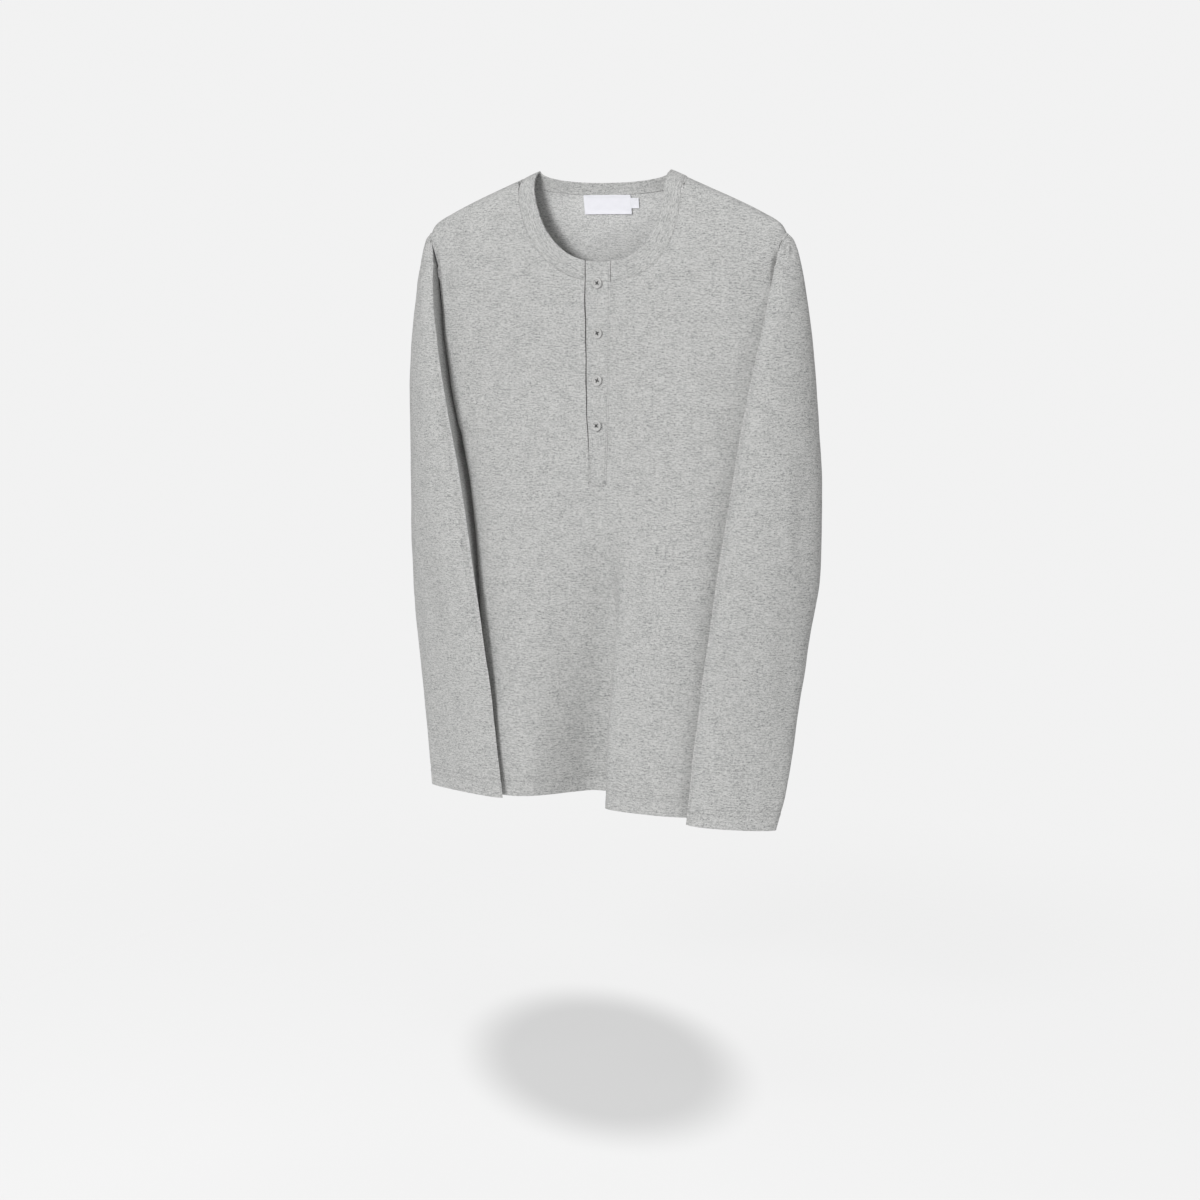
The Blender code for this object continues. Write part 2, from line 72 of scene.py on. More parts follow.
def makeCamera():
    data = bpy.data.cameras.new("camera")
    data.sensor_width = camera["sensor"]
    data.lens = camera["lens"]
    data.clip_end = 50
    thing = addThing("camera", data)
    thing.location = camera["place"]
    thing.rotation_euler = (math.radians(90 - camera["tilt"]), 0, math.radians(camera["turn"]))
    scene.camera = thing


makeCamera()


# the pattern: the same sections as the solids
neck = {
    "halfWidth": 79,        # inner edge of the band at its high points
    "seamHalfWidth": 98.5, "frontDrop": 96, "backDrop": 13, "band": 21, "backBand": 13,
    "squareness": 2.15,
    "squarenessLeft": 2.6,  # the front is pulled squarer on the wearer's left
}
placket = {
    "slotLeft": -14.0, "slotRight": 17.0, "bottom": -336,
    "lap": 5,               # how far the stand reaches behind the front
    "flap": 1.6, "gap": 0.25,
    "freeGap": 0.6,         # wider by this beside the flap's free edge
    "columns": ("z", "left", "right"),
    "edges": ((-90, -13.4, 16.6), (-180, -13.2, 16.0), (-280, -9.8, 14.6), (-336, -7.0, 13.8)),
    "freeTo": -298,         # the flap's left edge is free down to here, then sewn down
    "seamIn": 2.2,          # the seam along its right side, in from the edge
}
body = {
    "length": 686, "tipZ": -66, "underarmZ": -287, "armholeHalf": 15, "frontTurn": 24,
    "backTurn": 42, "wall": 1.5,
    "columns": ("z", "halfWidth", "sideY", "frontY", "backY", "squareness"),
    "sections": (
        (10, 215, -8, -17, 1, 4.0), (-66, 215, -8, -20, 12, 4.0),
        (-80, 210, -5, -20.5, 15, 4.0), (-100, 207, 1, -20.5, 20, 4.0),
        (-135, 205, 8, -20, 30, 4.0), (-175, 202.5, 13, -20, 40, 4.0),
        (-216, 197, 15, -20, 48, 4.0), (-250, 190.5, 14, -21, 53, 4.0),
        (-287, 182.5, 11, -22.5, 57, 4.0), (-326, 173.5, 8, -24.5, 60, 4.0),
        (-370, 165.5, 7, -28, 62, 4.0), (-426, 158, 6, -33, 63, 4.0),
        (-500, 152.5, 5, -40, 63, 3.8), (-600, 149, 3, -49.5, 61, 3.5),
        (-700, 147, 2, -57.5, 58, 3.4),
    ),
    "shoulderColumns": ("x", "z", "y"),
    "shoulder": (
        (0, 3, -2), (79, 0.3, -2), (95, -6, -2.5), (125, -18, -4),
        (157, -31, -5.5), (186, -44, -7), (208, -56, -8), (215, -66, -8),
    ),
    # folds: x at the top and at the hem, z of the top, depth, and the widths to left and right
    "frontFolds": ((-2, -17, -330, 64, 46, 29),),
    "backFolds": (
        (-58, -78, -190, 20, 26, 30),
        (18, 26, -250, 23, 34, 26),
        (84, 98, -150, 16, 22, 24),
    ),
    "foldShape": 2.2,
}
sleeve = {
    "columns": ("z", "innerX", "innerY", "outerX", "outerY", "front", "back"),
    "head": (
        (-66, 215.3, -8, 215.3, -8, 0, 0),
        (-73, 211.8, -13, 222, -7, 2, 3),
        (-96, 207, -18, 229, -4, 6, 9),
        (-130, 203, -26, 235, -1, 10, 14),
        (-172, 196.5, -31, 240, 2, 14, 22),
        (-250, 182, -35.5, 246.5, 6, 20, 38),
    ),
    "left": (
        (-321, 169, -35, 251, 7.5, 23, 46),
        (-405, 157, -39.5, 252.5, 7, 24, 44),
        (-491, 147, -45.5, 242.5, 1, 21, 34),
        (-577, 138, -50.5, 233, -6.5, 17, 22),
        (-653, 131, -55.5, 227, -20.5, 13, 12),
        (-690, 129, -58, 221.5, -33, 11, 9),
    ),
    "right": (
        (-318, 168.5, -35, 249, 9, 23, 46),
        (-403, 152, -38, 251, 10, 24, 44),
        (-486, 135.5, -44, 245, 0, 18, 32),
        (-577, 117, -51, 225, -20, 12, 16),
        (-650, 105.5, -55.5, 211, -31.5, 8, 8),
        (-687, 98.5, -60, 202, -40, 6, 6),
    ),
    "fullness": 0.75,
    "seamLean": Vector((0.35, 1.0, 0.0)),
    "pinch": 0.3, "seamAlong": 0.35,
    "seamBehind": (0.6, 1.4),
    "seamClearance": 4, "seamEase": 6, "seamBlend": 50, "wall": 1.5,
}


def hermite(start, leaving, end, arriving, t):
    return (
        start * (1 + 2 * t) * (1 - t) ** 2
        + leaving * t * (1 - t) ** 2
        + end * t * t * (3 - 2 * t)
        + arriving * t * t * (t - 1)
    )


@lru_cache(maxsize=None)
def read(table, columns, name, at):
    # value of a named column where the first column is at, on a smooth curve
    column = columns.index(name)
    rows = sorted(table)
    keys = [row[0] for row in rows]
    values = [row[column] for row in rows]
    if at <= keys[0]:
        return values[0]
    if at >= keys[-1]:
        return values[-1]
    i = max(k for k in range(len(keys) - 1) if keys[k] <= at)
    span = keys[i + 1] - keys[i]

    def slope(k):
        if k in (0, len(keys) - 1):
            a, b = (0, 1) if k == 0 else (k - 1, k)
            return (values[b] - values[a]) / (keys[b] - keys[a])
        before = (values[k] - values[k - 1]) / (keys[k] - keys[k - 1])
        after = (values[k + 1] - values[k]) / (keys[k + 1] - keys[k])
        return 0 if before * after <= 0 else 2 * before * after / (before + after)

    t = (at - keys[i]) / span
    return hermite(values[i], slope(i) * span, values[i + 1], slope(i + 1) * span, t)


def section(name, z):
    return read(body["sections"], body["columns"], name, z)


def halfWidth(z):
    return section("halfWidth", z)


def shoulder(name, x):
    return read(body["shoulder"], body["shoulderColumns"], name, abs(x))


def foldDepth(folds, x, z):
    moved = 0.0
    for xTop, xHem, zTop, depth, widthLeft, widthRight in folds:
        down = (zTop - z) / (zTop + body["length"])
        if down <= 0:
            continue
        line = between(xTop, xHem, down)
        width = widthLeft if x < line else widthRight
        near = math.exp(-(abs(x - line) / width) ** body["foldShape"])
        moved += depth * near * down ** 1.35
    return moved


def armholeSpread(z):
    down = (body["tipZ"] - z) / (body["tipZ"] - body["underarmZ"])
    if not 0 < down < 1:
        return 0.0
    return body["armholeHalf"] * math.sqrt(1 - (1 - 2 * down) ** 2)


def bodyY(side, x, z):
    # y of the cloth's outer face, side -1 for the front and +1 for the back
    front = side < 0
    square = section("squareness", z)
    across = min(abs(x) / halfWidth(z), 1.0)
    edge = section("sideY", z) + side * armholeSpread(z)
    flat = (1 - across ** square) ** (1 / square)
    middle = section("frontY" if front else "backY", z)
    fold = foldDepth(body["frontFolds" if front else "backFolds"], x, z)
    y = edge + (middle - edge) * flat - side * fold * flat
    turn = body["frontTurn" if front else "backTurn"]
    below = min(max((shoulder("z", x) - z) / turn, 0.0), 1.0)
    seam = shoulder("y", x)
    return seam + (y - seam) * math.sqrt(1 - (1 - below) ** 2)


def onFace(side, x, z):
    return Vector((x, bodyY(side, x, z), z))


def onBody(side, x, z, lift):
    # a point lifted forwards off the body's outer face, square to it
    step = 0.5
    slopeX = (bodyY(side, x + step, z) - bodyY(side, x - step, z)) / (2 * step)
    slopeZ = (bodyY(side, x, z) - bodyY(side, x, z - step)) / step
    forwards = Vector((slopeX, -1, slopeZ)).normalized()
    return onFace(side, x, z) + forwards * lift


def neckEdge(side, angle, band):
    # x and z in the neckband, angle 0 at +X and 90 in the middle, band 0 its top and 1 its seam
    power = 2 / neck["squarenessLeft" if side < 0 and angle < 90 else "squareness"]
    turn = math.radians(angle)
    across = math.copysign(abs(math.cos(turn)) ** power, math.cos(turn))
    down = abs(math.sin(turn)) ** power
    drop = neck["frontDrop"] if side < 0 else neck["backDrop"]
    width = neck["band"] if side < 0 else neck["backBand"]
    high = shoulder("z", neck["halfWidth"])
    low = shoulder("z", neck["seamHalfWidth"])
    top = Vector((neck["halfWidth"] * across, high - (drop + high) * down))
    seam = Vector((neck["seamHalfWidth"] * across, low - (drop + width + low) * down))
    return top + (seam - top) * band


@lru_cache(maxsize=None)
def neckAngle(side, x, band):
    low, high = 0.0, 180.0
    for _ in range(40):
        middle = (low + high) / 2
        if neckEdge(side, middle, band).x > x:
            low = middle
        else:
            high = middle
    return low


def topHeight(side, x):
    # top of a panel at x: the neckband's seam, or the shoulder seam outside it
    if abs(x) >= neckEdge(side, 0, 1).x:
        return shoulder("z", x)
    return neckEdge(side, neckAngle(side, x, 1), 1).y


def armholePoint(side, z):
    return onFace(side, halfWidth(z), z)


def underseam(inner, across, behind, bulge, z):
    # the sleeve's own seam below the armhole, beside the body where it can be
    least, most = sleeve["seamBehind"]
    start = inner + across * sleeve["seamAlong"] + behind * bulge * least
    back = (start.x - halfWidth(z) - sleeve["seamClearance"]) / -behind.x
    back = min(back, bulge * (most - least))
    return start + behind * (back + math.hypot(back, sleeve["seamEase"])) / 2


def sleevePoint(table, around, z):
    # around is 0 at the front seam, 1 at the inner edge, 2 at the outer edge and 3 at the back seam
    part = {name: read(table, sleeve["columns"], name, z) for name in sleeve["columns"][1:]}
    inner = Vector((part["innerX"], part["innerY"], z))
    outer = Vector((part["outerX"], part["outerY"], z))
    across = outer - inner
    behind = Vector((-across.y, across.x, 0)).normalized()
    seam = armholePoint(-1 if around <= 1 else 1, max(z, body["underarmZ"]))
    if z < body["underarmZ"]:
        own = underseam(inner, across, behind, part["back"], z)
        left = min((body["underarmZ"] - z) / sleeve["seamBlend"], 1.0)
        seam = armholePoint(-1, body["underarmZ"]).lerp(own, left * left * (3 - 2 * left))
        seam.z = z
    if around <= 1:
        way = inner - seam
        aside = Vector((way.length, 0, 0))
        return hermite(seam, way + aside * 0.6, inner, way - aside * 0.3, around)
    if around <= 2:
        turn = (around - 1) * math.pi
        bulge = part["front"] * math.sin(turn) ** (1 + sleeve["pinch"] * math.cos(turn / 2) ** 2)
        return inner + across * (1 - math.cos(turn)) / 2 - behind * bulge
    turn = (around - 2) * math.pi
    share = (1 - math.cos(turn)) / 2
    bulge = behind.lerp(sleeve["seamLean"], share) * part["back"] * sleeve["fullness"]
    return outer.lerp(seam, share) + bulge * math.sin(turn)


# materials
def operator(name, swapped=False):
    def method(self, *others):
        values = (self, *others)
        return self.maths(name, *(values[::-1] if swapped else values))

    return method


class Socket:
    # an output whose sums and products add their own Math nodes
    def __init__(self, shader, link):
        self.shader = shader
        self.link = link

    def maths(self, operation, *values, **settings):
        values = dict(enumerate(values))
        return self.shader.node("ShaderNodeMath", values, operation=operation, **settings)[0]

    __add__, __radd__ = operator("ADD"), operator("ADD", True)
    __sub__, __rsub__ = operator("SUBTRACT"), operator("SUBTRACT", True)
    __mul__, __rmul__ = operator("MULTIPLY"), operator("MULTIPLY", True)
    __abs__, sine, root = operator("ABSOLUTE"), operator("SINE"), operator("SQRT")

    def eased(self):
        return self * self * (3 - 2 * self)

    def clamped(self):
        return self.maths("ADD", self, 0, use_clamp=True)

    def above(self, low, high):
        # 0 below low, 1 above high, straight in between
        return ((self - low) * (1 / (high - low))).clamped()


class Shader:
    def __init__(self, name):
        self.material = bpy.data.materials.new(name)
        self.material.use_nodes = True
        self.tree = self.material.node_tree
        self.main = self.tree.nodes["Principled BSDF"]

    def node(self, kind, sockets=None, **settings):
        made = self.tree.nodes.new(kind)
        for name, value in settings.items():
            setattr(made, name, value)
        for name, value in (sockets or {}).items():
            self.feed(made.inputs[name], value)
        return [Socket(self, output) for output in made.outputs]

    def feed(self, socket, value):
        if isinstance(value, Socket):
            self.tree.links.new(value.link, socket)
        else:
            socket.default_value = value

    def set(self, **values):
        for name, value in values.items():
            self.feed(self.main.inputs[name.replace("_", " ")], value)

    def noiseAt(self, vector, scale, detail=2.0, roughness=0.5):
        # noise on a vector stretched by scale, in features per metre
        moved = self.node("ShaderNodeMapping", {"Vector": vector, "Scale": scale})[0]
        sockets = {"Vector": moved, "Scale": 1.0, "Detail": detail, "Roughness": roughness}
        return self.node("ShaderNodeTexNoise", sockets)[0]

    def mix(self, share, low, high):
        return self.node("ShaderNodeMix", {0: share, 6: low, 7: high}, data_type="RGBA")[2]

    def bump(self, strength, depth, height):
        sockets = {"Strength": strength, "Distance": depth * mm, "Height": height}
        return self.node("ShaderNodeBump", sockets)[0]

    def onCloth(self):
        # the cloth's own map in metres, whole and as its two parts
        uv = self.node("ShaderNodeUVMap", uv_map="cloth")[0]
        return uv, *self.node("ShaderNodeSeparateXYZ", {0: uv})[:2]

    def place(self):
        return self.node("ShaderNodeTexCoord")[3]


jersey = {
    "light": (0.575, 0.575, 0.565, 1),
    "dark": (0.20, 0.205, 0.205, 1),
    "balance": 0.72,        # how much of the light yarn shows
    "wale": 1.05,           # spacing of the knit's columns
    "course": 0.85,         # and of its rows
    "roughness": 0.92, "sheen": 0.22,
    "marl": (               # scale, detail, roughness, and the part in colour and in height
        ((260, 680, 1), 2.0, 0.60, 2.0, 0.5),       # short streaks
        ((600, 1250, 1), 2.0, 0.60, 2.7, 0.5),      # single fibres
        ((85, 600, 1), 2.0, 0.55, 1.1, 0.0),        # long slubs
        ((45, 70, 1), 2.0, 0.50, 0.4, 0.8),         # mottle
        ((9, 9, 1), 1.0, 0.50, 0.1, 0.0),           # a slow change of tone
    ),
}


def jerseyMaterial(name, settings):
    shader = Shader(name)
    uv, u, v = shader.onCloth()
    share = settings["balance"]
    wale = abs((u * (math.pi / (settings["wale"] * mm))).sine())
    chevron = (v * (2 * math.pi / (settings["course"] * mm)) + wale * 2.4).sine()
    height = (wale * 0.6 + chevron * 0.25) * 0.5
    for scale, detail, roughness, tone, rise in settings["marl"]:
        mark = shader.noiseAt(uv, scale, detail, roughness)
        share = share + (mark - 0.5) * tone
        if rise:
            height = height + mark * rise
    colour = shader.mix(share.clamped(), settings["dark"], settings["light"])
    shader.set(
        Base_Color=colour, Roughness=settings["roughness"], Normal=shader.bump(0.65, 0.35, height),
        Sheen_Weight=settings["sheen"], Sheen_Roughness=0.45, Specular_IOR_Level=0.2,
    )
    return shader.material


def threadMaterial(name, dark, light):
    shader = Shader(name)
    ply = shader.noiseAt(shader.place(), (1500, 1500, 1500))
    colour = shader.mix(ply.above(0.3, 0.7), dark, light)
    shader.set(Base_Color=colour, Roughness=0.7, Normal=shader.bump(0.4, 0.1, ply), Sheen_Weight=0.2)
    return shader.material


def labelMaterial():
    shader = Shader("white label tape")
    uv, u, v = shader.onCloth()
    pick = (v * (2 * math.pi / (0.22 * mm))).sine()
    warp = (u * (2 * math.pi / (0.30 * mm))).sine()
    soil = shader.noiseAt(uv, (120, 160, 1), 3.0)
    colour = shader.mix(soil.above(0.2, 0.8), (0.83, 0.83, 0.88, 1), (0.88, 0.88, 0.93, 1))
    weave = shader.bump(0.35, 0.06, pick * warp)
    shader.set(Base_Color=colour, Roughness=0.55, Normal=weave, Sheen_Weight=0.15)
    return shader.material


def buttonMaterial():
    shader = Shader("grey button")
    place = shader.place()
    cloud = shader.noiseAt(place, (260, 260, 420), 3.0, 0.6)
    grain = shader.noiseAt(place, (1900, 1900, 1900))
    colour = shader.mix(cloud.above(0.3, 0.72), (0.42, 0.42, 0.41, 1), (0.56, 0.56, 0.55, 1))
    shader.set(
        Base_Color=colour, Roughness=0.34 + cloud * 0.14, Normal=shader.bump(0.2, 0.08, grain),
        Coat_Weight=0.15, Coat_Roughness=0.2,
    )
    return shader.material


# a lighter copy of the jersey for the inside faces: painted light that makes the shaded inside look as
# bright as the front
paintedLightReverse = dict(jersey, light=(0.71, 0.71, 0.70, 1), dark=(0.31, 0.315, 0.315, 1))
finishes = {
    "jersey": jerseyMaterial("grey marl jersey", jersey),
    "paintedLightReverse": jerseyMaterial("grey marl jersey reverse", paintedLightReverse),
    "thread": threadMaterial("grey thread", (0.24, 0.245, 0.24, 1), (0.40, 0.40, 0.395, 1)),
    "buttonThread": threadMaterial("dark grey thread", (0.035, 0.036, 0.036, 1), (0.09, 0.09, 0.09, 1)),
    "label": labelMaterial(),
    "button": buttonMaterial(),
}
print("materials made:", len(finishes))


# creases: soft troughs with a low ridge beside them, each row x1, z1, x2, z2, width and depth
def creased(rows, x, z):
    # how far the creases move the cloth out at x, z
    moved = 0.0
    for x1, z1, x2, z2, width, depth in rows:
        start = Vector((x1, z1))
        way = Vector((x2, z2)) - start
        spot = Vector((x, z)) - start
        along = spot.dot(way) / way.length_squared
        if not 0 < along < 1:
            continue
        aside = (spot.x * way.y - spot.y * way.x) / way.length / width
        if abs(aside) > 4:
            continue
        fade = math.sin(math.pi * along) ** 0.8
        trough = bell(aside) - 0.5 * bell(aside - 1.9)
        moved -= depth * fade * trough
    return moved


def uneven(point, size, height, seed):
    return height * noise.noise(point / size + Vector((seed, 7 * seed, 3 * seed)))


def groove(distance, depth, width):
    return -depth * bell(distance / width)


# cloth pieces
def lengths(points):
    # running distance along points
    steps = ((b - a).length for a, b in zip(points, points[1:]))
    return list(accumulate(steps, initial=0.0))


def meshObject(name, bm, finish, sharpFrom=40):
    mesh = bpy.data.meshes.new(name)
    bm.to_mesh(mesh)
    bm.free()
    mesh.materials.append(finish)
    mesh.shade_smooth()
    if sharpFrom:
        mesh.set_sharp_from_angle(angle=math.radians(sharpFrom))
    return addThing(name, mesh)


def clothPiece(
    name, finish, columns, rows, place, relief, wall, skip=None, closed=False, edgeRound=0.45, girth=None
):
    # a grid laid on place(i, j), moved out by relief(i, j, point, edges) and given its wall
    grid = [[place(i, j) for j in range(rows + 1)] for i in range(columns + 1)]
    across = list(zip(*(lengths(line) for line in zip(*grid))))
    down = [lengths(line[::-1])[::-1] for line in grid]
    bm = bmesh.new()
    bmesh.ops.create_grid(bm, x_segments=columns, y_segments=rows, size=1)
    uv = bm.loops.layers.uv.new("cloth")
    spots = {}
    for vert in bm.verts:
        i = int((vert.co.x + 1) / 2 * columns + 0.5)
        j = int((vert.co.y + 1) / 2 * rows + 0.5)
        spots[vert] = (i, j)
        vert.co = grid[i][j]
    for face in bm.faces:
        for loop in face.loops:
            i, j = spots[loop.vert]
            over = girth(grid[i][j]) if girth else across[i][j] - across[columns][j] / 2
            loop[uv].uv = (over * mm, (down[i][0] - down[i][j]) * mm)
    if skip:
        dropped = [face for face in bm.faces if skip(*min(spots[vert] for vert in face.verts))]
        bmesh.ops.delete(bm, geom=dropped, context="FACES")
    bm.normal_update()
    for vert in bm.verts:
        i, j = spots[vert]
        edges = {
            "left": across[i][j], "right": across[columns][j] - across[i][j],
            "top": down[i][j], "bottom": down[i][0] - down[i][j],
        }
        edges["side"] = min(edges["left"], edges["right"])
        vert.co = (vert.co + vert.normal * relief(i, j, grid[i][j], edges)) * mm
    if closed:
        bmesh.ops.remove_doubles(bm, verts=bm.verts, dist=0.02 * mm)
    thing = meshObject(name, bm, finish, None)
    solid = thing.modifiers.new("wall", "SOLIDIFY")
    solid.thickness = wall * mm
    solid.offset = -1
    solid.use_even_offset = False
    if edgeRound:
        bevel = thing.modifiers.new("soft edge", "BEVEL")
        bevel.width = edgeRound * mm
        bevel.segments = 2
        bevel.limit_method = "ANGLE"
        bevel.angle_limit = math.radians(55)
    return thing


def settle(piece, node):
    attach(piece, "root")
    if node:
        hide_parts(node)


panels = {
    "sideColumns": 34, "sideCrowding": 1.4, "neckColumns": 26, "slotColumns": 8, "headRows": 74,
    "headCrowding": 1.4,
    "chestRows": 16,        # from the underarm to the placket's foot
    "skirtRows": 108, "seamDepth": 0.6, "seamWidth": 1.7,
    "hemAt": (17, 22),      # the two rows of the hem's stitching, above the edge
    "hemStep": 0.35,
}
frontCreases = (
    (-172, -262, -96, -196, 11, 1.5), (-164, -300, -120, -268, 8, 1.1),
    (168, -255, 104, -202, 12, 1.4), (160, -296, 118, -282, 8, 0.9),
    (-150, -84, -112, -128, 11, 0.9), (150, -80, 118, -120, 12, 0.9),
    (196, -88, 178, -150, 9, 1.6), (-198, -84, -186, -150, 8, 1.2),
    (-26, -330, -44, -410, 9, 1.3), (6, -338, 10, -392, 5, 0.9),
    (-70, -520, -96, -676, 13, 1.8), (-120, -430, -134, -600, 11, 1.3),
    (48, -470, 60, -660, 15, 1.3), (102, -400, 118, -640, 12, 1.4),
)
backCreases = (
    (-150, -70, -60, -96, 12, 1.4), (150, -72, 76, -104, 13, 1.3),
    (-178, -250, -98, -186, 11, 1.9), (176, -262, 110, -214, 12, 1.8),
    (-160, -300, -112, -280, 8, 1.3), (-30, -60, -34, -130, 14, 1.1),
    (44, -64, 36, -116, 12, 0.9), (-118, -420, -60, -396, 10, 1.6),
    (130, -402, 78, -372, 11, 1.4), (-30, -470, 28, -452, 12, 1.3),
    (-128, -500, -136, -660, 12, 1.6), (62, -480, 66, -664, 13, 1.5),
    (128, -470, 134, -650, 10, 1.3), (-20, -520, -24, -672, 12, 1.5),
)


def headHeight(top, level, settings):
    share = (level / settings["headRows"]) ** settings["headCrowding"]
    return between(top, body["underarmZ"], share)


def panelLines(side, middle, last):
    # a panel's columns as shares of its half width
    seam = neckEdge(side, 0, 1)
    inner = seam.x / halfWidth(seam.y)
    count = panels["sideColumns"]
    outside = [1 - (1 - inner) * (k / count) ** panels["sideCrowding"] for k in range(count)]
    left, right = [], []
    for k in range(panels["neckColumns"]):
        angle = last * (k / panels["neckColumns"]) ** 1.15
        for half, turned in ((left, angle), (right, 180 - angle)):
            spot = neckEdge(side, turned, 1)
            half.append(spot.x / halfWidth(spot.y))
    return [-share for share in outside] + right + middle + (outside + left)[::-1]


def hemRelief(distance, settings):
    # the turned-up edge of the shirt or a sleeve
    low, high = settings["hemAt"]
    moved = groove(distance - low, 0.45, 1.1) + groove(distance - high, 0.45, 1.1)
    if distance < high:
        moved += settings["hemStep"] * min((high - distance) / 2, 1)
    return moved


def girthReader(side):
    # distance over the cloth from the middle, level with a point, read from an even table
    levels, steps = 36, 30
    top, bottom = 5, -body["length"] - 5
    table = []
    for n in range(levels + 1):
        z = between(top, bottom, n / levels)
        turns = [math.pi / 2 * k / steps for k in range(-steps, steps + 1)]
        spots = [onFace(side, halfWidth(z) * math.sin(turn), z) for turn in turns]
        row = lengths(spots)
        table.append([value - row[steps] for value in row])

    def girth(point):
        down = min(max((point.z - top) / (bottom - top), 0), 0.9999) * levels
        out = min(max(point.x / halfWidth(point.z), -1), 1)
        out = math.asin(out) * 2 / math.pi
        out = min(max((out + 1) * steps, 0), 2 * steps - 0.001)
        n, k = int(down), int(out)
        upper, lower = (between(row[k], row[k + 1], out - k) for row in table[n:n + 2])
        return between(upper, lower, down - n)

    return girth


def flapEdge(name, z):
    wave = 0.45 * math.sin(z / 17) + 0.25 * math.sin(z / 6.7) if name == "left" else 0
    return read(placket["edges"], placket["columns"], name, z) + wave


def freeShare(z):
    # 1 where the flap's left edge hangs free, 0 where it is sewn down
    return 1 / (1 + math.exp((placket["freeTo"] - z) / 6))


def besideFlap(x, z, ends):
    # moves the cloth sideways so that the slot's edges, now at ends, run along the flap
    reach, fade = 30, 40
    gap = placket["gap"] + placket["freeGap"] * freeShare(z)
    moves = (flapEdge("left", z) - gap - ends[0], flapEdge("right", z) + 0.1 - ends[1])
    if x < ends[0]:
        move = moves[0] * max(1 - (ends[0] - x) / reach, 0)
    elif x > ends[1]:
        move = moves[1] * max(1 - (x - ends[1]) / reach, 0)
    else:
        move = between(*moves, (x - ends[0]) / (ends[1] - ends[0]))
    return x + move * min(max((z - placket["bottom"]) / fade + 1, 0), 1)


pressed = {"xTop": 24, "xHem": 6, "zTop": -370, "full": 110, "depth": 17, "left": 28, "right": 9}


def pressedFold(point):
    # the front's deep fold is slack on its left and turns back sharply on its right
    down = (pressed["zTop"] - point.z) / (pressed["zTop"] + body["length"])
    if down <= 0:
        return 0
    away = point.x - pressed["xTop"] - (pressed["xHem"] - pressed["xTop"]) * down
    width = pressed["left"] if away < 0 else pressed["right"]
    strength = min((pressed["zTop"] - point.z) / pressed["full"], 1)
    return pressed["depth"] * strength * strength * (3 - 2 * strength) * bell(away / width)


def pleat(x, z):
    # a narrow dark pleat in the front beside each sleeve, long on one side and short on the other
    near = halfWidth(z) - abs(x)
    if near > 15:
        return 0
    if x > 0:
        return 6.5 * math.exp(-((z + 104) / 16) ** 2 - ((near - 2.8) / 1.7) ** 2)
    along = min(max((-84 - z) / 20, 0), 1) * min(max((z + 236) / 90, 0), 1)
    return 8 * along * bell((near - 3.2) / 2.4)


def makePanel(name, side, lines, creases, seed, slot=None):
    head, chest, skirt = panels["headRows"], panels["chestRows"], panels["skirtRows"]
    rows = head + chest + skirt
    tops = []
    for line in lines:
        top = body["tipZ"]
        for _ in range(6):
            top = topHeight(side, line * halfWidth(top))
        tops.append(top)

    def place(i, j):
        level = rows - j
        if level <= head:
            z = headHeight(tops[i], level, panels)
        elif level <= head + chest:
            z = between(body["underarmZ"], placket["bottom"], (level - head) / chest)
        else:
            z = between(placket["bottom"], -body["length"], (level - head - chest) / skirt)
        x = lines[i] * halfWidth(z)
        if slot is not None:
            x = besideFlap(x, z, [lines[end] * halfWidth(z) for end in slot])
        return Vector((x, bodyY(side, x, z) + (pleat(x, z) if side < 0 else 0), z))

    def relief(i, j, point, edges):
        seam = min(edges["side"], edges["top"])
        calm = min(seam / 12, 1)
        moved = creased(creases, point.x, point.z) * calm
        if slot is not None and point.z > placket["bottom"]:
            # the cloth stands a little proud where the flap's free edge meets it
            beside = flapEdge("left", point.z) - placket["gap"] - point.x
            if beside > -0.01:
                moved += 0.7 * freeShare(point.z) * bell(beside / 4.5)
        moved += uneven(point, 62, 0.9, seed) * calm + uneven(point, 21, 0.28, seed + 5) * calm
        moved += groove(seam, panels["seamDepth"], panels["seamWidth"])
        if side < 0:
            # the armhole's seam draws the front in beside the sleeve
            along = min(max((body["tipZ"] - 12 - point.z) / 30, 0), 1)
            along *= min(max((point.z - body["underarmZ"]) / 30, 0), 1)
            moved += groove(edges["side"], 2.0 * along, 5)
            moved -= pressedFold(point)
        moved += hemRelief(edges["bottom"], panels)
        wave = math.sin(point.x / 17.0 + seed) * math.exp(-edges["bottom"] / 26)
        return moved + 0.5 * wave * calm

    def skip(i, j):
        return slot is not None and slot[0] <= i < slot[1] and j >= skirt

    piece = clothPiece(
        name, finishes["jersey"], len(lines) - 1, rows, place, relief, body["wall"], skip,
        girth=girthReader(side),
    )
    # the inside faces take the lighter copy of the jersey, painted light for the shaded inside
    piece.data.materials.append(finishes["paintedLightReverse"])
    piece.modifiers["wall"].material_offset = 1
    return piece


def makeFront():
    half = halfWidth(-neck["frontDrop"] - neck["band"])
    left, right = placket["slotLeft"] / half, placket["slotRight"] / half
    count = panels["slotColumns"]
    middle = [between(left, right, k / count) for k in range(count + 1)]
    lines = panelLines(-1, middle, 77)
    first = lines.index(left)
    piece = makePanel("front_panel", -1, lines, frontCreases, 2, (first, first + count))
    settle(piece, "front")
    return piece


def makeBack():
    count = 12
    edge = neckEdge(1, 78, 1).x / halfWidth(-37)
    middle = [-edge + 2 * edge * k / count for k in range(count + 1)]
    lines = panelLines(1, middle, 76)[::-1]     # right to left, so the faces point outwards
    piece = makePanel("back_panel", 1, lines, backCreases, 11)
    settle(piece, "back")
    return piece


front = makeFront()
print("front made")
back = makeBack()
print("back made")


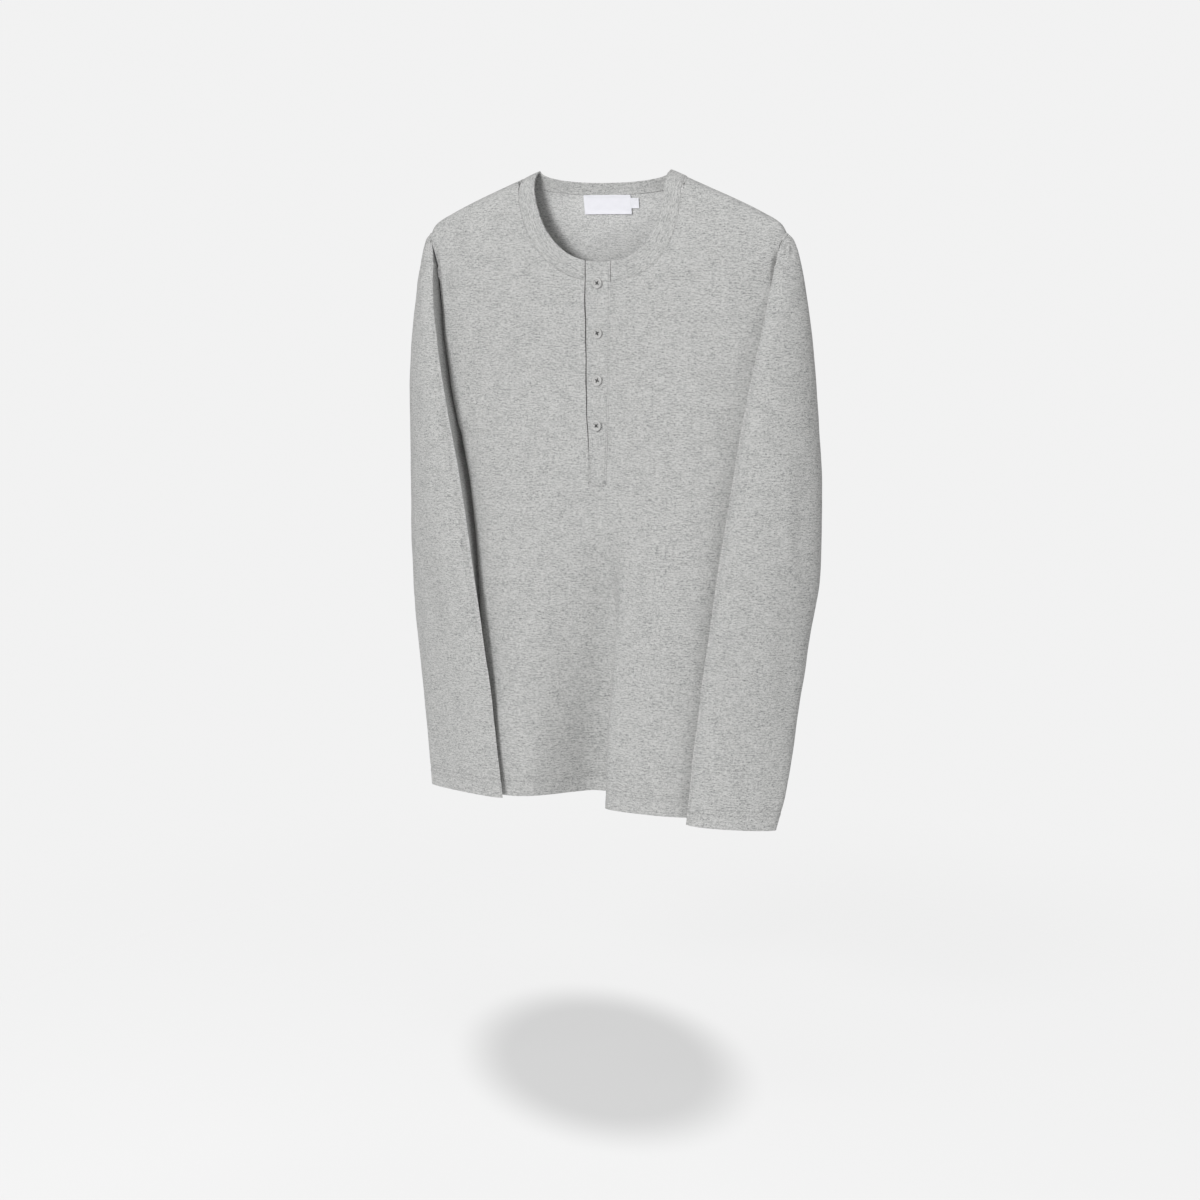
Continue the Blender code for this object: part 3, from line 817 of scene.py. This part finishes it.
# sleeves
sleeveGrid = {
    "shelf": 12, "front": 36, "back": 36, "headRows": 60, "headCrowding": 1.4, "armRows": 124,
    "hemAt": (15, 20), "hemStep": 0.35,
}
sleeveFrontCreases = (
    (213.5, -72, 211.5, -93, 1.5, 0.8), (217.5, -73, 217, -95, 1.4, 1.0),
    (221.5, -76, 222.5, -94, 1.5, 1.0), (204, -95, 230, -104, 2.0, 2.4),
    (206, -104, 216, -150, 5, 0.8), (228, -120, 222, -210, 9, 1.0),
    (196, -230, 244, -286, 12, 1.3), (184, -300, 236, -330, 9, 1.1),
    (240, -270, 243, -460, 6, 1.3), (232, -470, 222, -600, 8, 1.1),
    (206, -380, 196, -520, 13, 1.0), (170, -430, 236, -446, 11, 0.9),
    (150, -560, 160, -670, 9, 1.0), (190, -590, 196, -680, 8, 0.8),
)
sleeveBackCreases = (
    (226, -100, 216, -170, 6, 1.1), (236, -170, 196, -214, 10, 1.8),
    (244, -240, 196, -280, 11, 2.0), (246, -330, 190, -352, 9, 1.7),
    (248, -392, 182, -404, 8, 2.2), (246, -426, 178, -420, 7, 1.9),
    (242, -462, 176, -470, 9, 1.6), (236, -530, 170, -548, 10, 1.3),
    (214, -560, 200, -676, 10, 1.1), (176, -600, 168, -680, 8, 0.9),
)


def makeSleeve(name, node, table, mirror, seed):
    settings = sleeveGrid
    shelf, frontCount, backCount = settings["shelf"], settings["front"], settings["back"]
    columns = shelf + frontCount + backCount
    arounds = [k / shelf for k in range(shelf)] + [1 + k / frontCount for k in range(frontCount)]
    arounds += [2 + k / backCount for k in range(backCount + 1)]
    rows = settings["headRows"] + settings["armRows"]
    cuff = table[-1][0]

    def spot(i, j):
        if mirror < 0:
            i = columns - i     # keeps the faces outwards on the other arm
        level = rows - j
        if level <= settings["headRows"]:
            z = headHeight(body["tipZ"], level, settings)
        else:
            share = (level - settings["headRows"]) / settings["armRows"]
            z = between(body["underarmZ"], cuff, share)
        return arounds[i], z

    def place(i, j):
        around, z = spot(i, j)
        point = sleevePoint(table, around, z)
        return Vector((point.x * mirror, point.y, point.z))

    def relief(i, j, point, edges):
        around, z = spot(i, j)
        seam = edges["side"]
        head = min(edges["top"] / 10, 1)
        calm = min(seam / 8, 1) * head
        rows = sleeveFrontCreases if around < 2 else sleeveBackCreases
        moved = creased(rows, point.x * mirror, z) * min(seam / 4, 1)
        moved += (uneven(point, 55, 0.8, seed) + uneven(point, 19, 0.25, seed + 4)) * calm
        moved += groove(seam, 0.7, 1.6) * head
        if 1 <= around <= 2:
            # the pressed edge stands up, with a trough beside it
            beside = (around - 1) * 1.4 * 95
            strength = min(max((-150 - z) / 90, 0), 1)
            moved -= 1.5 * strength * bell((beside - 9) / 4.5)
            moved += 0.5 * strength * bell(beside / 3)
        return moved + hemRelief(edges["bottom"], settings)

    piece = clothPiece(
        name, finishes["jersey"], columns, rows, place, relief, sleeve["wall"], closed=True
    )
    settle(piece, node)
    return piece


leftSleeve = makeSleeve("left_sleeve", "sleeve_left", sleeve["head"] + sleeve["left"], 1, 21)
rightSleeve = makeSleeve("right_sleeve", "sleeve_right", sleeve["head"] + sleeve["right"], -1, 33)
print("sleeves made")


# neckband
band = {"frontStations": 84, "backStations": 60, "rows": 12, "wall": 2.0, "puff": 0.35}


def makeNeckband():
    count = band["frontStations"]
    frontAngles = [90 * (1 - (k / count)) for k in range(count)]
    stations = [(-1, angle) for angle in frontAngles]
    backCount = band["backStations"]
    stations += [(1, 180 * k / backCount) for k in range(backCount + 1)]
    stations += [(-1, 180 - angle) for angle in frontAngles[::-1]]
    rows = band["rows"]
    last = len(stations) - 1

    def place(i, j):
        side, angle = stations[i]
        share = 1 - j / rows
        # the ends follow the sides of the placket
        if side < 0 and i < last / 2:
            angle = angle * neckAngle(-1, placket["slotRight"] + 0.2, share) / 90
        elif side < 0:
            end = neckAngle(-1, placket["slotLeft"] - 0.2, share)
            angle = 180 - (180 - angle) * (180 - end) / 90
        edge = neckEdge(side, angle, share)
        if angle in (0, 180):
            return Vector((edge.x, shoulder("y", edge.x), edge.y))
        return onFace(side, edge.x, edge.y)

    def relief(i, j, point, edges):
        share = 1 - j / rows
        moved = band["puff"] * math.sin(math.pi * min(max(share, 0.02), 0.98)) ** 0.5
        moved += groove(edges["bottom"], 0.8 if stations[i][0] < 0 else 0.4, 1.2)
        moved += groove(edges["side"] - 4.5, 0.5, 0.9)
        moved += uneven(point, 16, 0.22, 41) + uneven(point, 5, 0.1, 43)
        return moved

    piece = clothPiece(
        "neck_band", finishes["jersey"], last, rows, place, relief, band["wall"], edgeRound=0.7
    )
    settle(piece, "neckband")


makeNeckband()
print("neckband made")


# placket
flapStitch = {"length": 2.0, "pitch": 2.6, "radius": 0.24, "inset": 1.6, "top": -104, "bottom": -334}


def neckTop(x):
    return neckEdge(-1, neckAngle(-1, x, 0), 0).y


def makeStrip(name, edges, lift, wall, columns, rows, relief, edgeRound):
    # a strip lying on the front from the placket's foot to the neckband's top edge

    def place(i, j):
        share, up = i / columns, j / rows
        z = placket["bottom"]
        for _ in range(4):
            x = between(*edges(z), share)
            z = between(placket["bottom"], neckTop(x), up)
        return onBody(-1, x, z, lift)

    return clothPiece(name, finishes["jersey"], columns, rows, place, relief, wall, edgeRound=edgeRound)


def makePlacket():

    def standEdges(z):
        return flapEdge("left", z) - 0.2, flapEdge("right", z) + placket["lap"]

    def flapEdges(z):
        return flapEdge("left", z), flapEdge("right", z)

    def flapRelief(i, j, point, edges):
        free = freeShare(point.z)
        moved = -1.5 * bell(edges["left"] / 5)
        moved += free * 0.2 * math.sin(point.z / 11.0) * math.exp(-edges["left"] / 4)
        moved -= 1.6 * bell(edges["right"] / 6)
        moved += groove(edges["right"] - placket["seamIn"], 0.35, 0.8)
        if free < 0.5:
            moved += groove(edges["left"] - flapStitch["inset"], 0.45, 0.9)
        for height in buttons["heights"]:
            fromButton = math.hypot(point.x - buttons["x"], point.z - height)
            moved -= 0.35 * bell(fromButton / 5.5)
        moved += uneven(point, 14, 0.25, 51)
        return moved

    stand = makeStrip(
        "placket_under", standEdges, -(body["wall"] + 0.2), 1.3, 10, 120, lambda *_: 0.0, 0.3
    )
    settle(stand, "placket_stand")
    flap = makeStrip(
        "placket_upper", flapEdges, placket["flap"] + placket["gap"], placket["flap"], 22, 190,
        flapRelief, 0.55,
    )
    settle(flap, "placket_flap")
    return flap


buttons = {
    "x": 2.0,
    "heights": (-118.7, -172.0, -222.5, -271.0),
    "radius": 5.75, "thickness": 2.4, "rim": 1.5, "dish": 0.75, "floor": 0.85, "hole": 0.85,
    "spacing": 2.4, "sides": 48, "thread": 0.32,
}
placketFlap = makePlacket()
print("placket made")


def treeOf(piece):
    # the finished surface of a piece, for laying things on it, in millimetres
    depsgraph = bpy.context.evaluated_depsgraph_get()
    made = piece.evaluated_get(depsgraph).to_mesh()
    made.calc_loop_triangles()
    verts = [vert.co / mm for vert in made.vertices]
    faces = [tuple(triangle.vertices) for triangle in made.loop_triangles]
    tree = BVHTree.FromPolygons(verts, faces)
    piece.evaluated_get(depsgraph).to_mesh_clear()
    return tree


trees = {
    "front": treeOf(front), "back": treeOf(back), "left": treeOf(leftSleeve),
    "right": treeOf(rightSleeve), "flap": treeOf(placketFlap),
}


def outside(tree, point, way):
    # the spot where a ray from well outside meets the cloth, and the cloth's normal there
    hit, normal, _, _ = tree.ray_cast(Vector(point) - Vector(way) * 60, Vector(way))
    return hit, normal


# buttons
def spun(profile, sides):
    bm = bmesh.new()
    verts = [bm.verts.new((r, 0, up)) for r, up in profile]
    edges = [bm.edges.new(pair) for pair in zip(verts, verts[1:])]
    bmesh.ops.spin(
        bm, geom=verts + edges, axis=(0, 0, 1), cent=(0, 0, 0), angle=2 * math.pi,
        steps=sides, use_merge=True,
    )
    bmesh.ops.remove_doubles(bm, verts=bm.verts, dist=1e-3)
    bmesh.ops.recalc_face_normals(bm, faces=bm.faces)
    return bm


def arc(middle, radius, start, end, count):
    # points on an arc, angles in degrees
    turns = [math.radians(between(start, end, k / count)) for k in range(count + 1)]
    x, up = middle
    return [(x + radius * math.cos(turn), up + radius * math.sin(turn)) for turn in turns]


def buttonBody(name):
    radius, thick = buttons["radius"], buttons["thickness"]
    low, edge = 0.55, 0.62
    profile = [(0, 0), (radius - low, 0)]
    profile += arc((radius - low, low), low, -90, 0, 4)[1:]
    profile += arc((radius - edge, thick - edge), edge, 0, 90, 5)
    dishRadius = radius - buttons["rim"]
    profile += arc((dishRadius, thick - 0.4), 0.4, 90, 180, 4)
    floor = thick - buttons["floor"]
    profile += [(dishRadius - 0.5, thick - buttons["dish"]), (dishRadius * 0.5, floor), (0, floor)]
    button = meshObject(name, spun(profile, buttons["sides"]), finishes["button"])
    holes = bmesh.new()
    half = buttons["spacing"] / 2
    for x in (-half, half):
        for y in (-half, half):
            bmesh.ops.create_cone(
                holes, cap_ends=True, segments=16, depth=4 * thick, radius1=buttons["hole"],
                radius2=buttons["hole"], matrix=Matrix.Translation((x, y, 0)),
            )
    drill = meshObject(name + "_drill", holes, finishes["button"])
    cut = button.modifiers.new("holes", "BOOLEAN")
    cut.object = drill
    bpy.context.view_layer.update()
    depsgraph = bpy.context.evaluated_depsgraph_get()
    made = bpy.data.meshes.new_from_object(button.evaluated_get(depsgraph))
    button.modifiers.clear()
    button.data = made
    bpy.data.objects.remove(drill, do_unlink=True)
    return button


def tube(bm, points, radius, sides=6):
    # a short thread through points, with closed ends
    rings = []
    for k, point in enumerate(points):
        before = points[max(k - 1, 0)]
        after = points[min(k + 1, len(points) - 1)]
        turn = (after - before).to_track_quat("Z", "Y").to_matrix()
        size = radius * (0.55 if k in (0, len(points) - 1) else 1)
        circle = bmesh.ops.create_circle(bm, segments=sides, radius=size)
        for vert in circle["verts"]:
            vert.co = point + turn @ vert.co
        rings.append(circle["verts"])
    for low, high in zip(rings, rings[1:]):
        for k in range(sides):
            n = (k + 1) % sides
            bm.faces.new((low[k], low[n], high[n], high[k]))
    bm.faces.new(rings[0][::-1])
    bm.faces.new(rings[-1])


def makeButtons():
    for number, z in enumerate(buttons["heights"], 1):
        seat, normal = outside(trees["flap"], (buttons["x"], 0, z), (0, 1, 0))
        normal = Vector((normal.x, normal.y, normal.z * 0.6)).normalized()
        turn = normal.to_track_quat("Z", "Y").to_matrix()
        spin = Matrix.Rotation(math.radians((7, -12, 20, 3)[number - 1]), 3, "Z")
        button = buttonBody(f"shirt_button_{number}")
        seat = seat + normal * 0.35
        half = buttons["spacing"] / 2
        top = buttons["thickness"] - buttons["floor"]
        threads = bmesh.new()
        for sign in (1, -1):
            for strand in (-0.3, 0.3):
                points = []
                for k in range(9):
                    t = k / 8
                    along = (2 * t - 1) * half
                    rise = 0.75 * math.sin(math.pi * t) ** 0.5 - 0.55 * (abs(2 * t - 1) ** 6)
                    shift = Vector((-sign, 1, 0)).normalized() * strand
                    points.append(Vector((along, sign * along, top + rise)) + shift * (1 - t * 0.2))
                tube(threads, points, buttons["thread"], 6)
        thread = meshObject(f"button_thread_{number}", threads, finishes["buttonThread"])
        for thing in (button, thread):
            for vert in thing.data.vertices:
                vert.co = (turn @ (spin @ vert.co) + seat) * mm
            thing.data.update()
        settle(button, f"button_{number}")
        settle(thread, None)


makeButtons()
print("buttons made")


# label and size tab
label = {
    "width": 57, "height": 20.5, "top": -25.2, "middle": 0.5, "wall": 0.55,
    "tabWidth": 9.5, "tabHeight": 11, "tabTop": -28.5, "tabWall": 0.4,
}


def makePatch(name, left, width, top, height, lift, wall, columns, rows, bow):
    # a flat piece on the inside of the back, facing forwards

    def place(i, j):
        x = left + width * (1 - i / columns)
        z = top - height * (1 - j / rows)
        return onBody(1, x, z, lift)

    def relief(i, j, point, edges):
        ends = min(edges["top"], edges["bottom"], edges["side"])
        return bow * min(ends / 4, 1) + uneven(point, 9, 0.12, 61) + groove(ends - 1.1, 0.12, 0.5)

    return clothPiece(name, finishes["label"], columns, rows, place, relief, wall, edgeRound=0.15)


def makeLabels():
    left = label["middle"] - label["width"] / 2
    woven = makePatch(
        "neck_label", left, label["width"], label["top"], label["height"], 2.9, label["wall"],
        60, 22, 0.35,
    )
    tab = makePatch(
        "neck_size_tab", left + label["width"] - 0.3, label["tabWidth"], label["tabTop"],
        label["tabHeight"], 3.0, label["tabWall"], 18, 20, 0.5,
    )
    settle(woven, "label")
    settle(tab, "size_tab")


makeLabels()
print("labels made")


# stitching
stitch = {"length": 2.5, "pitch": 3.1, "radius": 0.27}


def layStitches(bm, spots, length, radius):
    # one thread loop at each spot: (point, normal, way)
    for point, normal, way in spots:
        way = (way - normal * way.dot(normal)).normalized()
        points = []
        for k in range(5):
            t = k / 4
            rise = radius * (1.5 * math.sin(math.pi * t) - 0.7)
            points.append(point + way * (t - 0.5) * length + normal * rise)
        tube(bm, points, radius, 5)


def alongLine(tree, path, pitch, way=None):
    # spots at an even pitch along path, dropped on the cloth in direction way or else to the nearest
    hits = []
    for point in path:
        hit, normal = outside(tree, point, way) if way else tree.find_nearest(point)[:2]
        if hit is not None:
            hits.append((hit, normal))
    spots, left = [], 0.0
    for (a, normal), (b, _) in zip(hits, hits[1:]):
        step = (b - a).length
        while left < step:
            spots.append((a.lerp(b, left / step), normal, (b - a).normalized()))
            left += pitch
        left -= step
    return spots


def stitchObject(name, spotLists, settings):
    bm = bmesh.new()
    for spots in spotLists:
        layStitches(bm, spots, settings["length"], settings["radius"])
    piece = meshObject(name, bm, finishes["thread"])
    for vert in piece.data.vertices:
        vert.co = vert.co * mm
    piece.data.update()
    settle(piece, None)


def hemPath(side, height):
    z = height - body["length"]
    half = halfWidth(z)
    across = [half * math.cos(math.pi * k / 240) for k in range(241)]
    return [onFace(side, x, z) for x in across]


def cuffPath(table, mirror, height):
    z = table[-1][0] + height
    points = [sleevePoint(table, 3 * k / 240, z) for k in range(241)]
    return [Vector((point.x * mirror, point.y, point.z)) for point in points]


def makeStitches():
    hem = []
    for height in panels["hemAt"]:
        for side, key in ((-1, "front"), (1, "back")):
            hem.append(alongLine(trees[key], hemPath(side, height), stitch["pitch"]))
    stitchObject("hem_stitching", hem, stitch)
    cuffs = []
    for height in sleeveGrid["hemAt"]:
        for key, mirror in (("left", 1), ("right", -1)):
            table = sleeve["head"] + sleeve[key]
            path = cuffPath(table, mirror, height)
            cuffs.append(alongLine(trees[key], path, stitch["pitch"]))
    stitchObject("cuff_stitching", cuffs, stitch)

    inwards = (0, 1, 0)
    bottom = flapStitch["bottom"]
    seams, tacks = [], []
    for name, inset, top in (
        ("left", flapStitch["inset"], placket["freeTo"]),
        ("right", -placket["seamIn"], flapStitch["top"]),
    ):
        heights = [between(top, bottom, k / 120) for k in range(121)]
        path = [Vector((flapEdge(name, z) + inset, 0, z)) for z in heights]
        seams.append(alongLine(trees["flap"], path, flapStitch["pitch"], inwards))
        # a small bar of stitches holds the foot of each seam
        for k in range(5):
            foot = Vector((flapEdge(name, bottom) + inset - 2 + k * 0.9, 0, bottom + 0.4))
            tack = [foot + Vector((0, 0, 1.4)), foot - Vector((0, 0, 1.4))]
            tacks.append(alongLine(trees["flap"], tack, 5, inwards))
    stitchObject("placket_stitching", seams[::-1] + tacks, flapStitch)


makeStitches()
print("stitching made")


# stage and light
stage = {
    "floorZ": -0.995, "radius": 1.3,
    "clearTo": 0.42,        # the floor is whole out to here and melts into the backdrop beyond
    "backdrop": 0.886, "ambient": 0.38,
    "aim": (0, 0, -0.35),
    "lights": (             # name, place, size and power
        ("key", (-0.42, -2.55, 0.6), 1.1, 47),
        ("fill", (2.2, -1.0, 0.2), 1.4, 10),
        ("top", (0.0, -0.5, 2.3), 0.9, 7),
        ("behind", (-0.3, 2.5, 1.2), 1.2, 16),
    ),
    # size and glow of the shadow painted on the floor under the shirt
    "paintedShadowSize": (0.15, 0.225),
    "paintedShadowGlow": (0.535, 0.535, 0.535, 1),
    "glow": (0.725, 0.725, 0.725, 1),
}


def floorMaterial():
    # a glowing pale floor with a soft round shadow painted under the shirt
    shader = Shader("pale floor")
    place = shader.place()
    x, y, _ = shader.node("ShaderNodeSeparateXYZ", {0: place})
    away = (x * x + y * y).root()
    turn = math.radians(camera["turn"])
    across = (x * math.cos(turn) + y * math.sin(turn)) * (1 / stage["paintedShadowSize"][0])
    deep = (y * math.cos(turn) - x * math.sin(turn)) * (1 / stage["paintedShadowSize"][1]) + across * 0.22
    # painted shadow: a soft ellipse under the shirt, turned with the camera
    paintedShadow = (across * across + deep * deep).root().above(0.68, 1.22).eased()
    tone = shader.noiseAt(place, (3, 3, 3)) * 0.02
    share = (paintedShadow - tone).clamped()
    # the painted shadow darkens both the floor's colour and its glow
    colour = shader.mix(share, (0.15, 0.15, 0.15, 1), (0.2, 0.2, 0.2, 1))
    glow = shader.mix(share, stage["paintedShadowGlow"], stage["glow"])
    shader.set(Base_Color=colour, Roughness=0.95, Specular_IOR_Level=0.0)
    shader.set(Emission_Color=glow, Emission_Strength=1.0)
    shader.set(Alpha=(1 - away.above(stage["clearTo"], stage["radius"] - 0.05)).eased())
    return shader.material


def makeStage():
    bm = bmesh.new()
    bmesh.ops.create_circle(bm, cap_ends=True, segments=96, radius=stage["radius"])
    bmesh.ops.translate(bm, verts=bm.verts, vec=(0, 0, stage["floorZ"]))
    floor = meshObject("floor", bm, floorMaterial())


def areaLight(name, place, size, power):
    data = bpy.data.lights.new(name, "AREA")
    data.shape = "DISK"
    data.size = size
    data.energy = power
    thing = addThing(name, data)
    thing.location = place
    way = Vector(stage["aim"]) - Vector(place)
    thing.rotation_euler = way.to_track_quat("-Z", "Y").to_euler()


def makeWorld():
    world = bpy.data.worlds.new("studio")
    scene.world = world
    world.use_nodes = True
    tree = world.node_tree
    fill, seen = tree.nodes["Background"], tree.nodes.new("ShaderNodeBackground")
    for node, strength in ((fill, stage["ambient"]), (seen, stage["backdrop"])):
        node.inputs["Color"].default_value = (1, 1, 1, 1)
        node.inputs["Strength"].default_value = strength
    which = tree.nodes.new("ShaderNodeMixShader")
    ray = tree.nodes.new("ShaderNodeLightPath")
    tree.links.new(ray.outputs["Is Camera Ray"], which.inputs[0])
    tree.links.new(fill.outputs[0], which.inputs[1])
    tree.links.new(seen.outputs[0], which.inputs[2])
    tree.links.new(which.outputs[0], tree.nodes["World Output"].inputs["Surface"])


makeStage()
for row in stage["lights"]:
    areaLight(*row)
makeWorld()
scene.view_settings.view_transform = "Standard"
print("stage and light made")
